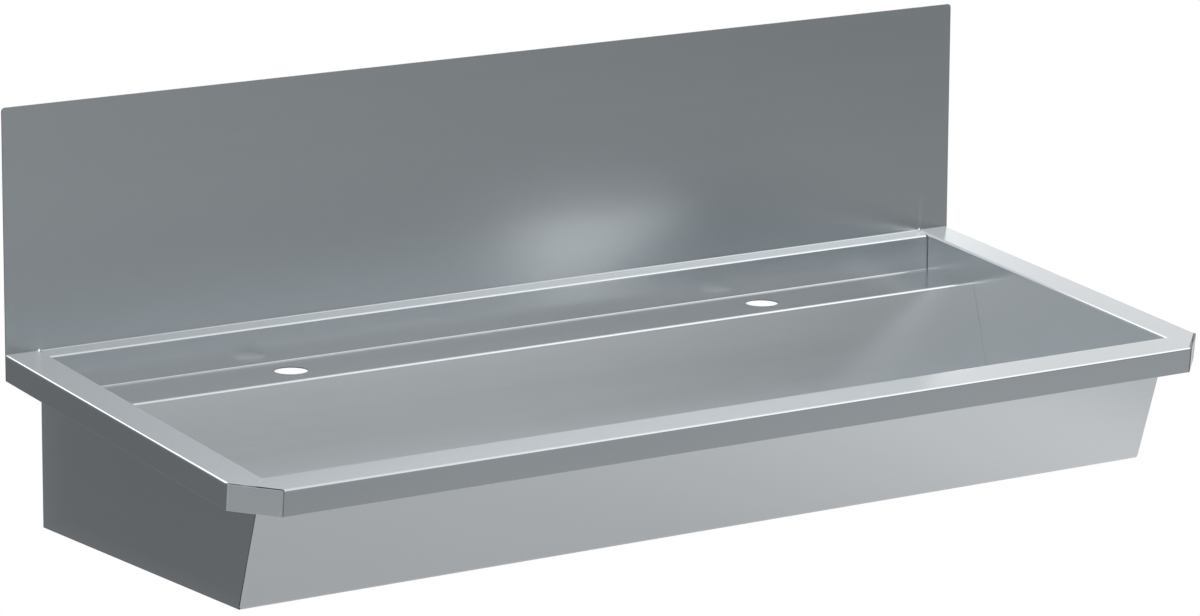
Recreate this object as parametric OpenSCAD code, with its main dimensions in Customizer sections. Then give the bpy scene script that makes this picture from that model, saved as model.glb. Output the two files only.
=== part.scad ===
// Wall-hung wash trough of folded stainless sheet, with a tall splash-back,
// a sunk tap ledge with two tap holes and one long basin.
// X runs along the trough, the wall is the plane Y = 0 and the front lies
// towards -Y. The origin is the centre of the wall fixing holes.

/* [Trough] */
// Overall length from end to end
trough_l = 1200; // [1000:10:1600]
// Overall depth from the wall to the front edge of the rim
trough_d = 470; // [450:1:520]
// Height of the rim at the wall above the bottom edge of the panels
rim_h = 184; // [178:1:200]
// Thickness of the sheet
sheet_t = 1.2; // [1:0.1:1.6]
// Inner radius of the folds
fold_r = 2.4; // [1.6:0.1:3]
// Height of the wall fixing centre above the bottom edge of the panels
fixing_h = 95; // [90:1:100]

/* [Splash-back] */
// Height of the splash-back above the rim
splash_h = 252; // [150:1:400]
// Radius of its top corners
splash_corner_r = 4; // [1:0.5:12]
// Radius of the relief holes at the ends of its lowest fold
relief_r = 1.6; // [1:0.1:2]

/* [Rim] */
// Fall of the rim towards the front, in degrees
rim_fall = 5.8; // [5:0.1:6.4]
// Width of the side rims
side_rim_w = 40; // [34:0.5:48]
// Width of the front rim
front_rim_w = 40; // [36:0.5:48]
// Height of the skirts below the rim
skirt_h = 27.2; // [20:0.1:32]
// Cut across each front corner, along each edge
corner_cut = 38.5; // [34:0.5:40]
// Open joint between a corner flap and the front skirt
flap_joint = 1.2; // [0.5:0.1:2]
// Open slot between a corner flap and the rim
flap_slot = 1.6; // [0.5:0.1:2]
// Depth of the rim's inner edge, where it joins the walls of the basin
rim_leg_h = 6; // [5:0.5:8]

/* [Ledges] */
// Distance from the wall to the face of the upstand
upstand_y = 17.6; // [14:0.1:20]
// Drop of the rear ledge below the rim at the splash-back
ledge_start_drop = 0.6; // [0.3:0.1:1]
// Drop of the rear ledge below the rim at the upstand
ledge_end_drop = 3.6; // [3:0.1:5]
// Gap between the upstand's ends and the end walls
upstand_gap = 1.2; // [0.5:0.1:2]
// Height of the tap ledge above the bottom edge of the panels
tap_ledge_h = 141.7; // [136:0.1:146]
// Distance from the wall to the front edge of the tap ledge
tap_ledge_front = 101; // [98:1:110]

/* [Tap holes] */
// Diameter of a tap hole
tap_hole_d = 35; // [28:0.5:38]
// Distance between the tap holes
tap_pitch = 600; // [400:10:650]
// Distance from the wall to the tap holes
tap_y = 60; // [56:1:64]
// Length of the plate that stiffens a tap hole
tap_plate_l = 80; // [64:1:100]
// Width of that plate
tap_plate_w = 64; // [58:1:66]
// Thickness of that plate
tap_plate_t = 1.5; // [1:0.1:2]
// Diameter of the hole in that plate, wide enough for the tap's nut
tap_plate_hole_d = 50; // [44:0.5:52]

/* [Basin] */
// Lean of the basin's back from upright, in degrees
back_lean = 16.6; // [12:0.2:20]
// Lean of the front panel from upright, in degrees
front_lean = 17.9; // [16:0.1:19]
// Gap between the wall and the back edge of an end panel
wall_gap = 3; // [2:0.5:6]
// Height of the floor at the waste above the bottom edge of the panels
floor_h = 20; // [19:0.5:24]
// Rise of the floor from the waste to the ends
floor_rise = 6; // [3:0.5:10]
// Length of the level stretch round the waste
floor_level_l = 120; // [110:1:160]
// Width of the folded lips along the bottom edges
lip_w = 18; // [17:0.5:20]

/* [Stiffening] */
// Width of a floor stiffener
stiffener_w = 40; // [30:1:60]
// Height of a floor stiffener
stiffener_h = 12; // [8:0.5:14]
// Thickness of a floor stiffener
stiffener_t = 1.5; // [1:0.1:2.5]
// Length of a sound pad
pad_l = 170; // [100:5:200]
// Width of a sound pad
pad_w = 170; // [120:5:200]
// Thickness of a sound pad
pad_t = 3; // [2:0.5:5]

/* [Wall brackets] */
// Width of a bracket
bracket_w = 50; // [44:1:70]
// Thickness of a bracket
bracket_t = 3; // [2:0.5:4]
// Reach of a bracket from the wall
bracket_reach = 88; // [80:1:90]
// Depth of a bracket's front edge
bracket_nose_h = 10; // [6:1:16]
// Width of a bracket's side at its foot
bracket_foot_w = 14; // [8:1:24]
// Height between the two fixing holes of a bracket
fixing_pitch = 60; // [50:1:64]
// Diameter of a fixing hole
fixing_hole_d = 9; // [7:0.5:11]
// Distance from the lower fixing hole to a bracket's foot
bracket_edge = 13; // [10:0.5:16]

/* [Fastenings] */
// Diameter of the studs under the tap ledge
stud_d = 6; // [5:0.5:6]
// Length that a stud stands out past its nut
stud_spare = 2; // [1:0.5:4]
// Distance from the wall to the rear studs
stud_rear_y = 30; // [26:1:34]
// Distance from the rear studs to the front studs
stud_pitch = 38; // [30:1:44]
// Play of a stud in the bracket, across the diameter
stud_play = 1; // [0.6:0.1:2]
// Diameter of a washer
washer_d = 12; // [11:0.5:14]
// Thickness of a washer
washer_t = 1.6; // [1:0.1:2]
// Play of a washer on its stud, across the diameter
washer_play = 0.4; // [0.2:0.1:0.6]
// Width of a nut across its flats
nut_flats = 10; // [9:0.5:11]
// Thickness of a nut
nut_t = 5; // [4:0.5:6]
// Play of a nut on its thread, across the diameter
nut_play = 0.2; // [0.1:0.1:0.3]
// Diameter of the head of a pan head screw
pan_head_d = 11; // [10:0.5:12]
// Height of the head of a pan head screw
pan_head_h = 3.5; // [3:0.1:4]
// Width of a screw's slot
slot_w = 1.4; // [1:0.1:2]
// Depth of a screw's slot
slot_depth = 1.5; // [1:0.1:2]
// Width and height of the earthing tag
tag_w = 20; // [18:1:26]
// Thickness of the earthing tag
tag_t = 2; // [1.5:0.1:3]
// Distance from the lip's free edge to the earthing tag
tag_edge = 1.2; // [0.5:0.1:2]
// Length of the earthing screw's thread
tag_screw_l = 8.5; // [8:0.5:9]
// Play of the earthing screw in the tag, across the diameter
tag_play = 0.4; // [0.2:0.1:1]

/* [Waste] */
// Diameter of the hole in the floor
waste_hole_d = 62; // [60:0.5:64]
// Diameter of the recess round the hole
recess_d = 96; // [94:0.5:100]
// Depth of the recess
recess_h = 3; // [2.5:0.1:3.5]
// Diameter of the waste's flange
flange_d = 88; // [84:0.5:90]
// Wall of the waste's bowl
bowl_t = 1; // [0.8:0.1:1.2]
// Inner diameter of the waste's bowl
bowl_d = 56; // [54:0.5:57]
// Depth of the bowl below its flange, outside
bowl_h = 17; // [15:0.5:18]
// Diameter of a drain hole in the bowl
drain_d = 9; // [6:0.5:9]
// Number of drain holes in the bowl
drain_count = 8; // [6:1:8]
// Diameter of the ring of drain holes
drain_ring_d = 36; // [34:0.5:38]
// Width of the gaskets
gasket_w = 10; // [8:0.5:10]
// Thickness of the gasket above the floor
upper_gasket_t = 1; // [0.6:0.1:1.4]
// Thickness of the gasket below the floor
lower_gasket_t = 2; // [1.5:0.1:2.5]
// Thickness of the waste body's flange
body_flange_t = 3; // [2:0.5:4]
// Wall of the waste body
body_t = 2.5; // [2:0.1:3]
// Depth of the waste body's cup
cup_h = 16; // [15:0.5:17]
// Diameter over the thread of the tail
tail_d = 47.8; // [46:0.1:49]
// Diameter of the tail's bore
tail_bore_d = 41; // [38:0.1:42]
// Length of the tail
tail_l = 21; // [18:0.5:24]
// Diameter of the boss that takes the centre screw
boss_d = 12; // [11:0.5:14]
// Height of that boss
boss_h = 9; // [8:0.5:10]
// Drop of the boss below the floor of the cup
boss_drop = 1; // [0.5:0.1:1.5]
// Height of the arms that carry the boss
arm_h = 6; // [5:0.5:7]
// Thickness of those arms
arm_t = 4; // [3:0.5:5]
// Number of those arms
arm_count = 3; // [2:1:4]
// Play of the centre screw in its holes, across the diameter
centre_play = 0.2; // [0.1:0.1:0.5]

/* [Strainer] */
// Gap between the strainer and the bowl
strainer_gap = 1; // [0.5:0.1:1.5]
// Thickness of the strainer
strainer_t = 1.2; // [0.8:0.1:1.5]
// Diameter of a hole in the strainer
sieve_d = 4.4; // [3:0.1:4.6]
// Distance between the rings of holes
sieve_pitch = 6; // [5.5:0.1:6]
// Diameter of the knob that lifts the strainer
knob_d = 14; // [12:0.5:15]
// Height of the knob
knob_h = 7; // [5:0.5:7]
// Diameter of the knob's neck
knob_neck_d = 7; // [5:0.5:8]
// Height of the knob's neck
knob_neck_h = 3; // [2:0.5:4]

/* [Hidden] */
$fn = 64;

steel = [0.66, 0.69, 0.70];
dull_steel = [0.50, 0.52, 0.53];
zinc = [0.72, 0.73, 0.70];
black_rubber = [0.10, 0.10, 0.10];
grey_plastic = [0.78, 0.78, 0.76];

// Overrun of a cut past the faces that it cuts
cut_over = 2;
// Length over which two welded stretches of one piece overlap
weld_over = 1;
// Segments in a fold's arc
fold_segments = 6;

// Share of its radius by which a relief hole's centre lies outside the end walls
relief_share = 0.8;
// Share of the floor's half length at which a stiffener stands
stiffener_share = 0.5;

// Outer radius of the folds
fold_out_r = fold_r + sheet_t;
// Levels of the bottom edge, the rim at the wall, the tap ledge and the floor
base_z = -fixing_h;
rim_z = base_z + rim_h;
tap_z = base_z + tap_ledge_h;
floor_z = base_z + floor_h;
// Half length between the end walls
in_x = trough_l/2 - side_rim_w;
// Outer face of an end panel
out_x = in_x + sheet_t;

// Unit vector along v
function unit(v) = v/norm(v);
// Vector d turned a quarter turn to the left
function left_of(d) = [-d[1], d[0]];
// Turn from direction a to direction b, positive to the left
function turn(a, b) = atan2(cross(a, b), a*b);
// Points of one face of a folded sheet at corner i of path p: the face lies
// off to the left of the path, and r is the fold radius on the path itself
function corner_points(p, i, r, off) =
    let(a = unit(p[i] - p[i - 1]), b = unit(p[i + 1] - p[i]))
    let(theta = turn(a, b), side = sign(theta))
    let(centre = p[i] - a*r*tan(abs(theta)/2) + left_of(a)*side*r)
    let(face_r = r - side*off, start = atan2(-side*left_of(a)[1], -side*left_of(a)[0]))
    [for (k = [0:fold_segments])
        let(at = start + theta*k/fold_segments)
        centre + face_r*[cos(at), sin(at)]];
// One face of a folded sheet along path p, with fold radius r[i - 1] at corner i
function face_points(p, r, off) =
    let(last = len(p) - 1, first_d = unit(p[1] - p[0]))
    let(last_d = unit(p[last] - p[last - 1]))
    concat([p[0] + left_of(first_d)*off],
        [for (i = [1:1:last - 1]) each corner_points(p, i, r[i - 1], off)],
        [p[last] + left_of(last_d)*off]);
// Outline of a folded sheet: path p is its seen face, the sheet lies to the left
function sheet_outline(p, r, t = sheet_t) =
    let(back = face_points(p, r, t))
    concat(face_points(p, r, 0), [for (i = [len(back) - 1:-1:0]) back[i]]);
// Point on the way from corner a to corner b, past a fold of radius r at a
function past_fold(before, a, b, r, more = 0) =
    a + unit(b - a)*(r*tan(abs(turn(a - before, b - a))/2) + more);

// Rim frame: y runs down the fall from the wall and w stands square to the rim
function rim_to_trough(p) = [p[0]*cos(rim_fall) - p[1]*sin(rim_fall),
    rim_z + p[0]*sin(rim_fall) + p[1]*cos(rim_fall)];

// Front edge of the rim, its inner edge and the corner cuts, in the rim frame
rim_front = -trough_d/cos(rim_fall);
front_in_y = rim_front + front_rim_w;
cut_y = rim_front + corner_cut;
// Front panel: its direction upwards, here and in the rim frame, and its foot,
// on the basin face and on the outer face
front_up = [-sin(front_lean), cos(front_lean)];
front_up_rim = [-sin(front_lean - rim_fall), cos(front_lean - rim_fall)];
front_head_in = rim_to_trough([front_in_y, 0]);
front_drop = (front_head_in[1] - base_z - sheet_t*sin(front_lean))/cos(front_lean);
front_foot_in = front_head_in - front_up*front_drop;
front_foot = front_foot_in - sheet_t*[cos(front_lean), sin(front_lean)];

// Corners of the rear ledge, the upstand, the tap ledge and the basin's back
ledge_start = [-sheet_t, rim_z - ledge_start_drop];
ledge_end = [-upstand_y, rim_z - ledge_end_drop];
upstand_foot = [-upstand_y, tap_z];
tap_ledge_edge = [-tap_ledge_front, tap_z];
back_foot = [-tap_ledge_front - tap_ledge_h*tan(back_lean), base_z];
back_lip_end = back_foot + [lip_w, 0];
// Welds between the sheets, just past the folds
ledge_weld = past_fold(upstand_foot, ledge_end, ledge_start, fold_out_r, weld_over);
upstand_weld = past_fold(ledge_end, upstand_foot, tap_ledge_edge, fold_r, weld_over);
tap_ledge_weld = past_fold(upstand_foot, tap_ledge_edge, back_foot, fold_out_r, weld_over);

// Front panel: top edge, under the rim's inner edge
front_rim_foot = [front_in_y, 0] - front_up_rim*rim_leg_h/front_up_rim[1];
front_top = rim_to_trough(front_rim_foot + left_of(front_up_rim)*sheet_t);
front_lip_end = front_foot + [lip_w, 0];

// Section of the room between the basin's back and the front panel
basin_section = [back_foot, front_foot_in,
    front_foot_in + front_up*tap_ledge_h/cos(front_lean), tap_ledge_edge];
// Centre of the waste
back_floor_y = back_foot[0] + floor_h*tan(back_lean);
front_floor_y = front_foot_in[0] - floor_h*tan(front_lean);
waste_y = (back_floor_y + front_floor_y)/2;
recess_z = floor_z - recess_h;

// Top of the floor at distance x from the middle
function floor_top(x) = floor_z
    + floor_rise*max(0, abs(x) - floor_level_l/2)/(in_x - floor_level_l/2);
// Places of the stiffeners, and of the sound pads outside them
stiffener_x = stiffener_share*in_x;
pad_x = (stiffener_x + stiffener_w/2 + in_x)/2;
// Underside of the floor
function floor_under(x) = floor_top(x) - sheet_t;

// Underside of the tap ledge and of the bracket tops
tap_under = tap_z - sheet_t;
bracket_under = tap_under - bracket_t;
bracket_foot_z = -fixing_pitch/2 - bracket_edge;
// A bracket stands midway between the end wall and the plate of a tap hole
bracket_x = (tap_pitch/2 + tap_plate_l/2 + in_x)/2;
stud_l = bracket_t + washer_t + nut_t + stud_spare;
stud_ys = [-stud_rear_y, -stud_rear_y - stud_pitch];
// Corner radius of a nut that is nut_flats wide
nut_r = nut_flats/2/cos(30);

// Waste: radii, and levels above the top of the recess
hole_r = waste_hole_d/2;
bowl_r = bowl_d/2;
flange_top = upper_gasket_t + bowl_t;
bowl_floor = flange_top - bowl_h;
gasket_r = flange_d/2 - bowl_t;
body_top = -sheet_t - lower_gasket_t;
cup_r = hole_r + body_t;
cup_bottom = body_top - cup_h;
tail_end = cup_bottom - body_t - tail_l;
boss_top = cup_bottom - boss_drop;
strainer_r = bowl_r - strainer_gap;
seat_z = bowl_floor + bowl_t;
strainer_h = flange_top - seat_z;
sieve_rings = floor((strainer_r - strainer_t - knob_d/2 - sieve_d/2)/sieve_pitch);

// Earthing tag on the lip of the basin's back
tag_y = back_lip_end[0] - tag_edge - tag_t;
tag_z = base_z + sheet_t;

// Profile in Y and Z carried along X over width w, centred
module along_x(w) {
    rotate([90, 0, 90])
        translate([0, 0, -w/2])
            linear_extrude(w)
                children();
}

// Profile in X and Z carried from y = near towards the front as far as far
module along_y(near, far) {
    translate([0, near, 0])
        rotate([90, 0, 0])
            linear_extrude(near - far)
                children();
}

// Shapes drawn in the rim frame, in place on the trough
module rim_frame() {
    translate([0, 0, rim_z])
        rotate([rim_fall, 0, 0])
            children();
}

// Folded sheet along a path in Y and Z, w wide
module folded_sheet(path, radii, w) {
    along_x(w)
        polygon(sheet_outline(path, radii));
}

// Tall sheet on the wall with the narrow ledge folded out of its foot
module splashback() {
    top_z = rim_z + splash_h;
    ear_z = rim_z - skirt_h;
    fold_z = ledge_start[1] + fold_r;
    round_x = trough_l/2 - splash_corner_r;
    color(steel) {
        difference() {
            along_y(0, -sheet_t)
                union() {
                    translate([-trough_l/2, ear_z])
                        square([trough_l, top_z - splash_corner_r - ear_z]);
                    translate([-round_x, ear_z])
                        square([2*round_x, top_z - ear_z]);
                    for (side = [-1, 1])
                        translate([side*round_x, top_z - splash_corner_r])
                            circle(splash_corner_r);
                }
            // The foot of the middle stretch is the fold
            translate([-in_x, -sheet_t - cut_over, ear_z - cut_over])
                cube([2*in_x, sheet_t + 2*cut_over, fold_z - ear_z + cut_over]);
            for (side = [-1, 1])
                translate([side*(in_x + relief_share*relief_r), 0, rim_z])
                    rotate([90, 0, 0])
                        cylinder(h = 2*(sheet_t + cut_over), r = relief_r, center = true);
        }
        folded_sheet([[-sheet_t, fold_z + weld_over], ledge_start, ledge_weld], [fold_r], 2*in_x);
    }
}

// Short wall between the rear ledge and the tap ledge
module upstand() {
    color(steel)
        folded_sheet([ledge_weld, ledge_end, upstand_foot, upstand_weld],
            [fold_out_r, fold_r], 2*(in_x - upstand_gap));
}

// Level ledge with the two tap holes
module tap_ledge() {
    color(steel)
        difference() {
            folded_sheet([upstand_weld, tap_ledge_edge, tap_ledge_weld], [fold_out_r], 2*in_x);
            tap_holes(tap_hole_d);
        }
}

// Cutters for round holes of diameter d at the two taps
module tap_holes(d) {
    depth = sheet_t + tap_plate_t + 2*cut_over;
    for (side = [-1, 1])
        translate([side*tap_pitch/2, -tap_y, tap_z + cut_over - depth])
            cylinder(h = depth, d = d);
}

// Leaning back of the basin, with a lip along its foot
module basin_back() {
    color(steel)
        folded_sheet([tap_ledge_weld, back_foot, back_lip_end], [fold_out_r], 2*in_x);
}

// Floor that falls from both ends to the recess for the waste
module basin_floor() {
    level = floor_level_l/2;
    recess = [[hole_r, -sheet_t], [recess_d/2, -sheet_t], [recess_d/2, recess_h],
        [recess_d/2 - sheet_t, recess_h], [recess_d/2 - sheet_t, 0], [hole_r, 0]];
    xs = [-in_x, -level, level, in_x];
    color(steel) {
        difference() {
            intersection() {
                along_y(0, -trough_d)
                    polygon(concat([for (x = xs) [x, floor_top(x)]],
                        [for (i = [len(xs) - 1:-1:0]) [xs[i], floor_under(xs[i])]]));
                along_x(2*in_x)
                    polygon(basin_section);
            }
            translate([0, waste_y, floor_z - recess_h - cut_over])
                cylinder(h = recess_h + 2*cut_over, d = recess_d);
        }
        translate([0, waste_y, recess_z])
            rotate_extrude()
                polygon(recess);
    }
}

// Leaning front of the trough, with a lip along its foot
module front_panel() {
    lip_start = front_foot + front_up*(fold_out_r + weld_over);
    color(steel) {
        folded_sheet([lip_start, front_foot, front_lip_end], [fold_out_r], 2*in_x);
        along_x(2*out_x)
            polygon([front_top, front_top + (front_foot_in - front_foot),
                lip_start + (front_foot_in - front_foot), lip_start]);
    }
}

// Flat end wall of the basin, which is also the side of the casing
module end_panel() {
    top_back = [-wall_gap, rim_z - rim_leg_h/cos(rim_fall) - wall_gap*tan(rim_fall)];
    // Where the front panel's basin face meets the level under the rim
    top_y = front_in_y - rim_leg_h*front_up_rim[0]/front_up_rim[1];
    top_front = rim_to_trough([top_y, -rim_leg_h]);
    outline = [[-wall_gap, base_z], top_back, top_front, front_foot_in];
    color(steel)
        translate([-in_x - sheet_t/2, 0, 0])
            along_x(sheet_t)
                polygon(outline);
}

module left_end_panel() {
    end_panel();
}

module right_end_panel() {
    mirror([1, 0, 0])
        end_panel();
}

// Plan of the left front corner in the rim frame: where the edge of the rim
// stops short of the flap, at the mitre, at the flap's fold and at its joint
slot_off = (sheet_t + flap_slot)*sqrt(2);
fold_zone = fold_out_r;
mitre_s = ((trough_l/2 - in_x) + (front_in_y - cut_y) - slot_off)/2;
mitre_end = [-in_x - mitre_s, front_in_y - mitre_s];
fold_end = [-trough_l/2 + slot_off - fold_zone, cut_y + fold_zone];
joint_x = -trough_l/2 + corner_cut + flap_joint;
joint_end = [joint_x, cut_y + slot_off - (joint_x + trough_l/2)];

// Front rim with its skirt, mitred to the side rims
module front_rim() {
    path = [front_rim_foot, [front_in_y, 0], [rim_front, 0], [rim_front, -skirt_h]];
    half = [[-in_x, front_in_y + rim_leg_h], [-in_x, front_in_y], mitre_end, joint_end,
        [joint_x, rim_front - cut_over]];
    other = [for (i = [len(half) - 1:-1:0]) [-half[i][0], half[i][1]]];
    color(steel)
        rim_frame()
            intersection() {
                along_x(trough_l)
                    polygon(sheet_outline(path, [fold_out_r, fold_out_r]));
                translate([0, 0, -skirt_h - cut_over])
                    linear_extrude(skirt_h + 2*cut_over)
                        polygon(concat(half, other));
            }
}

// Left rim with its skirt, and the flap folded round the front corner
module side_rim() {
    path = [[-in_x, -rim_leg_h], [-in_x, 0], [-trough_l/2, 0], [-trough_l/2, -skirt_h]];
    plan = [[-in_x + cut_over, cut_over], [-in_x + cut_over, front_in_y + cut_over],
        mitre_end, fold_end, [-trough_l/2 - cut_over, cut_y + fold_zone],
        [-trough_l/2 - cut_over, cut_over]];
    flap = [[-trough_l/2, cut_y + fold_zone], [-trough_l/2, cut_y],
        [-trough_l/2 + corner_cut, rim_front]];
    color(steel) {
        difference() {
            rim_frame()
                intersection() {
                    along_y(cut_over, rim_front)
                        polygon(sheet_outline(path, [fold_out_r, fold_out_r]));
                    translate([0, 0, -skirt_h - cut_over])
                        linear_extrude(skirt_h + 2*cut_over)
                            polygon(plan);
                }
            // Cut upright where it butts against the splash-back
            translate([-trough_l/2 - cut_over, -sheet_t, rim_z - skirt_h - cut_over])
                cube([side_rim_w + 2*cut_over, skirt_h, skirt_h + 2*cut_over]);
        }
        rim_frame()
            translate([0, 0, -skirt_h])
                linear_extrude(skirt_h - weld_over/2)
                    polygon(sheet_outline(flap, [fold_out_r]));
    }
}

module left_rim() {
    side_rim();
}

module right_rim() {
    mirror([1, 0, 0])
        side_rim();
}

// Plate welded under the tap ledge round the left tap hole
module tap_plate() {
    color(dull_steel)
        difference() {
            translate([-tap_pitch/2 - tap_plate_l/2, -tap_y - tap_plate_w/2, tap_under - tap_plate_t])
                cube([tap_plate_l, tap_plate_w, tap_plate_t]);
            tap_holes(tap_plate_hole_d);
        }
}

module left_tap_plate() {
    tap_plate();
}

module right_tap_plate() {
    mirror([1, 0, 0])
        tap_plate();
}

// Channel welded across the underside of the floor
module stiffener() {
    a = -stiffener_x - stiffener_w/2;
    b = -stiffener_x + stiffener_w/2;
    top = [floor_under(a), floor_under(b)];
    color(dull_steel)
        intersection() {
            along_y(0, -trough_d)
                polygon([[a, top[0]], [b, top[1]], [b, top[1] - stiffener_h],
                    [b - stiffener_t, top[1] - stiffener_h], [b - stiffener_t, top[1] - stiffener_t],
                    [a + stiffener_t, top[0] - stiffener_t], [a + stiffener_t, top[0] - stiffener_h],
                    [a, top[0] - stiffener_h]]);
            along_x(trough_l)
                polygon(basin_section);
        }
}

module left_stiffener() {
    stiffener();
}

module right_stiffener() {
    mirror([1, 0, 0])
        stiffener();
}

// Rubber pad stuck under the floor against drumming
module sound_pad() {
    a = -pad_x - pad_l/2;
    b = -pad_x + pad_l/2;
    color(black_rubber)
        along_y(waste_y + pad_w/2, waste_y - pad_w/2)
            polygon([[a, floor_under(a)], [b, floor_under(b)],
                [b, floor_under(b) - pad_t], [a, floor_under(a) - pad_t]]);
}

module left_sound_pad() {
    sound_pad();
}

module right_sound_pad() {
    mirror([1, 0, 0])
        sound_pad();
}

// Console screwed to the wall, which carries the tap ledge
module bracket() {
    left = -bracket_x - bracket_w/2;
    height = tap_under - bracket_foot_z;
    side = [[0, bracket_foot_z], [0, tap_under], [-bracket_reach, tap_under],
        [-bracket_reach, tap_under - bracket_nose_h], [-bracket_foot_w, bracket_foot_z]];
    color(dull_steel)
        difference() {
            union() {
                translate([left, -bracket_t, bracket_foot_z])
                    cube([bracket_w, bracket_t, height]);
                translate([left, -bracket_reach, bracket_under])
                    cube([bracket_w, bracket_reach, bracket_t]);
                for (x = [left, left + bracket_w - bracket_t])
                    translate([x + bracket_t/2, 0, 0])
                        along_x(bracket_t)
                            polygon(side);
            }
            for (z = [-fixing_pitch/2, fixing_pitch/2])
                translate([-bracket_x, 0, z])
                    rotate([90, 0, 0])
                        cylinder(h = 2*(bracket_t + cut_over), d = fixing_hole_d, center = true);
            for (y = stud_ys)
                translate([-bracket_x, y, bracket_under - cut_over])
                    cylinder(h = bracket_t + 2*cut_over, d = stud_d + stud_play);
        }
}

module left_bracket() {
    bracket();
}

module right_bracket() {
    mirror([1, 0, 0])
        bracket();
}

// Places of the four studs, at the underside of the tap ledge
module at_studs() {
    for (x = [-bracket_x, bracket_x])
        for (y = stud_ys)
            translate([x, y, tap_under])
                children();
}

// Ring with a bore, hanging down from its own level
module ring(d, bore, h) {
    translate([0, 0, -h])
        difference() {
            cylinder(h = h, d = d);
            translate([0, 0, -cut_over])
                cylinder(h = h + 2*cut_over, d = bore);
        }
}

// Six-sided nut with a plain bore, hanging down from its own level
module hex_nut(bore) {
    translate([0, 0, -nut_t])
        difference() {
            cylinder(h = nut_t, r = nut_r, $fn = 6);
            translate([0, 0, -cut_over])
                cylinder(h = nut_t + 2*cut_over, d = bore);
        }
}

// Slotted pan head screw: its head stands on its own level, its shank hangs down
module pan_screw(d, l) {
    difference() {
        cylinder(h = pan_head_h, d = pan_head_d);
        translate([-pan_head_d/2 - cut_over, -slot_w/2, pan_head_h - slot_depth])
            cube([pan_head_d + 2*cut_over, slot_w, slot_depth + cut_over]);
    }
    translate([0, 0, -l])
        cylinder(h = l + weld_over, d = d);
}

// Studs welded to the underside of the tap ledge
module bracket_studs() {
    color(zinc)
        at_studs()
            translate([0, 0, -stud_l])
                cylinder(h = stud_l, d = stud_d);
}

module bracket_washers() {
    color(zinc)
        at_studs()
            translate([0, 0, -bracket_t])
                ring(washer_d, stud_d + washer_play, washer_t);
}

module bracket_nuts() {
    color(zinc)
        at_studs()
            translate([0, 0, -bracket_t - washer_t])
                hex_nut(stud_d + nut_play);
}

// Shapes drawn about the waste's axis, at the top of the recess
module at_waste() {
    translate([0, waste_y, recess_z])
        children();
}

// Pressed bowl with drain holes in its floor
module waste_bowl() {
    wall_r = bowl_r + bowl_t;
    bore_r = (stud_d + centre_play)/2;
    color(steel)
        at_waste()
            difference() {
                rotate_extrude()
                    polygon([[bore_r, bowl_floor], [wall_r, bowl_floor], [wall_r, upper_gasket_t],
                        [flange_d/2, upper_gasket_t], [flange_d/2, flange_top], [bowl_r, flange_top],
                        [bowl_r, seat_z], [bore_r, seat_z]]);
                for (i = [0:drain_count - 1])
                    rotate([0, 0, i*360/drain_count])
                        translate([drain_ring_d/2, 0, bowl_floor - cut_over])
                            cylinder(h = bowl_t + 2*cut_over, d = drain_d);
            }
}

module upper_gasket() {
    color(black_rubber)
        at_waste()
            translate([0, 0, upper_gasket_t])
                ring(2*gasket_r, 2*(gasket_r - gasket_w), upper_gasket_t);
}

module lower_gasket() {
    color(black_rubber)
        at_waste()
            translate([0, 0, -sheet_t])
                ring(2*gasket_r, 2*(gasket_r - gasket_w), lower_gasket_t);
}

// Cup clamped under the floor, with the threaded tail and the screw's boss
module waste_body() {
    arm_start = boss_d/2 - weld_over;
    arm_end = (tail_bore_d + body_t)/2;
    color(grey_plastic)
        at_waste()
            difference() {
                union() {
                    rotate_extrude()
                        polygon([[tail_bore_d/2, tail_end], [tail_d/2, tail_end],
                            [tail_d/2, cup_bottom - body_t], [cup_r, cup_bottom - body_t],
                            [cup_r, body_top - body_flange_t], [flange_d/2, body_top - body_flange_t],
                            [flange_d/2, body_top], [hole_r, body_top], [hole_r, cup_bottom],
                            [tail_bore_d/2, cup_bottom]]);
                    translate([0, 0, boss_top - boss_h])
                        cylinder(h = boss_h, d = boss_d);
                    for (i = [0:arm_count - 1])
                        rotate([0, 0, 90 + i*360/arm_count])
                            translate([arm_start, -arm_t/2, boss_top - (boss_h + arm_h)/2])
                                cube([arm_end - arm_start, arm_t, arm_h]);
                }
                translate([0, 0, boss_top - boss_h - cut_over])
                    cylinder(h = boss_h + 2*cut_over, d = stud_d + centre_play);
            }
}

// Screw that clamps the bowl to the body
module waste_screw() {
    color(zinc)
        at_waste()
            translate([0, 0, seat_z])
                pan_screw(stud_d, seat_z - boss_top + boss_h);
}

// Sieve that stands in the bowl and lifts out
module strainer() {
    color(steel)
        at_waste()
            translate([0, 0, seat_z])
                difference() {
                    cylinder(h = strainer_h, r = strainer_r);
                    translate([0, 0, -cut_over])
                        cylinder(h = strainer_h - strainer_t + cut_over, r = strainer_r - strainer_t);
                    for (k = [1:sieve_rings])
                        sieve_ring(knob_d/2 + sieve_d/2 + (k - 1)*sieve_pitch, 6*(k + 1));
                }
}

// Ring of holes through the strainer's top
module sieve_ring(r, count) {
    for (i = [0:count - 1])
        rotate([0, 0, i*360/count])
            translate([r, 0, strainer_h - strainer_t - cut_over])
                cylinder(h = strainer_t + 2*cut_over, d = sieve_d, $fn = 24);
}

module strainer_knob() {
    color(steel)
        at_waste()
            translate([0, 0, flange_top]) {
                cylinder(h = knob_neck_h, d = knob_neck_d);
                translate([0, 0, knob_neck_h])
                    cylinder(h = knob_h - knob_neck_h, d = knob_d);
            }
}

// Shapes on the axis of the earthing screw, which points to the wall
module at_earth_screw(y) {
    translate([0, y, tag_z + tag_w/2])
        rotate([-90, 0, 0])
            children();
}

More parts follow.
